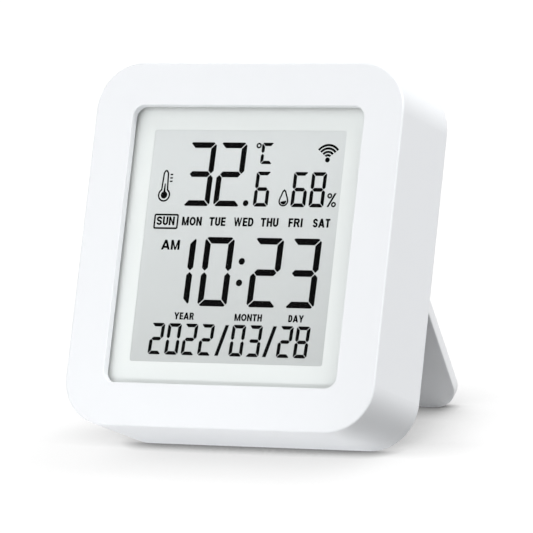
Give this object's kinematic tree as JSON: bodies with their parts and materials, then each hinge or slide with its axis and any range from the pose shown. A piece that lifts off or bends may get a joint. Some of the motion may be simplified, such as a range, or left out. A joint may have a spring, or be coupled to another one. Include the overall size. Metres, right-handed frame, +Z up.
{
  "type": "temperature humidity sensor",
  "caption": "Rounded square desk sensor with a recessed segment display for temperature, humidity, time and date, a hinged battery door and a fold-out rear stand.",
  "frame": {"origin": "on the surface it stands on, in the middle of the box round the standing object", "axes": "+Z up, the display faces -Y and leans back, +X to the viewer's right"},
  "size_m": [0.0694, 0.0544, 0.0758],
  "materials": {
    "case_white": "fine satin moulding",
    "cover_white": "fine matt moulding",
    "stand_white": "fine satin moulding",
    "button_white": "satin moulding",
    "holder_white": "matt moulding",
    "window_clear": "clear acrylic",
    "tape_grey": "adhesive film",
    "border_white": "white ink film",
    "display_grey": "grey polariser film",
    "display_glass": "clear glass",
    "reflector_silver": "brushed reflector film",
    "strip_rubber": "layered elastomer",
    "board_green": "solder mask",
    "module_blue": "solder mask",
    "chip_black": "moulded package",
    "header_black": "moulded",
    "passive_tan": "ceramic",
    "can_steel": "tinned",
    "screw_steel": "zinc plated",
    "capacitor_aluminium": "bare can",
    "contact_nickel": "nickel plated",
    "cell_sleeve": "printed sleeve, left plain"
  },
  "bodies": {
    "case": {"front_housing": "case_white", "window_lens": "window_clear", "window_tape": "tape_grey", "window_border": "border_white", "lcd_front_polariser": "display_grey", "lcd_front_glass": "display_glass", "lcd_rear_glass": "display_glass", "lcd_reflector": "reflector_silver", "lcd_frame": "holder_white", "zebra_strips": "strip_rubber", "main_board": "board_green", "board_screws": "screw_steel", "controller_chip": "chip_black", "clock_crystal": "can_steel", "storage_capacitor": "capacitor_aluminium", "board_passives": "passive_tan", "wireless_board": "module_blue", "wireless_shield": "can_steel", "sensor_board": "module_blue", "sensor_chip": "chip_black", "sensor_header": "header_black", "switch_base": "can_steel", "rear_cover": "cover_white", "cover_screws": "screw_steel", "battery_cells": "cell_sleeve", "positive_contact": "contact_nickel", "negative_contact": "contact_nickel", "bridge_contact": "contact_nickel", "contact_springs": "contact_nickel"},
    "stand": {"stand": "stand_white"},
    "battery_door": {"battery_door": "cover_white"},
    "button": {"set_button": "button_white", "switch_plunger": "header_black"}
  },
  "joints": [
    {"name": "stand_hinge", "type": "hinge", "parent": "case", "child": "stand", "pos_m": [0, 0.00711, 0.03172], "axis": [1, 0, 0], "range_deg": [-51, 0]},
    {"name": "battery_door_hinge", "type": "hinge", "parent": "case", "child": "battery_door", "pos_m": [0, 0.01087, 0.03776], "axis": [-1, 0, 0], "range_deg": [0, 85]},
    {"name": "button_press", "type": "slide", "parent": "case", "child": "button", "axis": [0, -0.8773, 0.48], "range_m": [0, 0.0004], "stiffness_N_per_m": 300}
  ]
}
